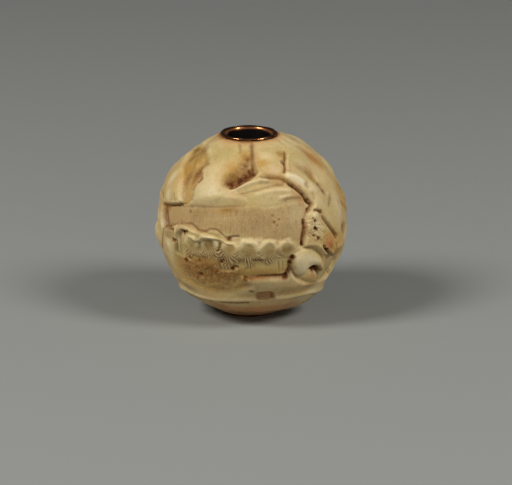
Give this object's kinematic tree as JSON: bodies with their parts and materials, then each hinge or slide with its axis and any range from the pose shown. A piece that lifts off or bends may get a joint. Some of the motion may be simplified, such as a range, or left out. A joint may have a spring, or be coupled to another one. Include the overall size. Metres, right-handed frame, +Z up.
{
  "type": "carved bead",
  "caption": "Ball-shaped sliding bead for a cord, carved all round in relief with mountains, pines and clouds, with a flared metal eyelet at each end of its hole.",
  "frame": {"origin": "on the ground under the cord hole, at the face of the bottom eyelet's lip", "axes": "+Z up along the cord hole, -Y towards the front of the carving, +X to its right"},
  "size_m": [0.0161, 0.0158, 0.0156],
  "materials": {
    "ivory": "satin",
    "gilt_copper": "polished"
  },
  "bodies": {
    "root": {"carved_body": "ivory", "top_eyelet": "gilt_copper", "bottom_eyelet": "gilt_copper"}
  },
  "joints": []
}
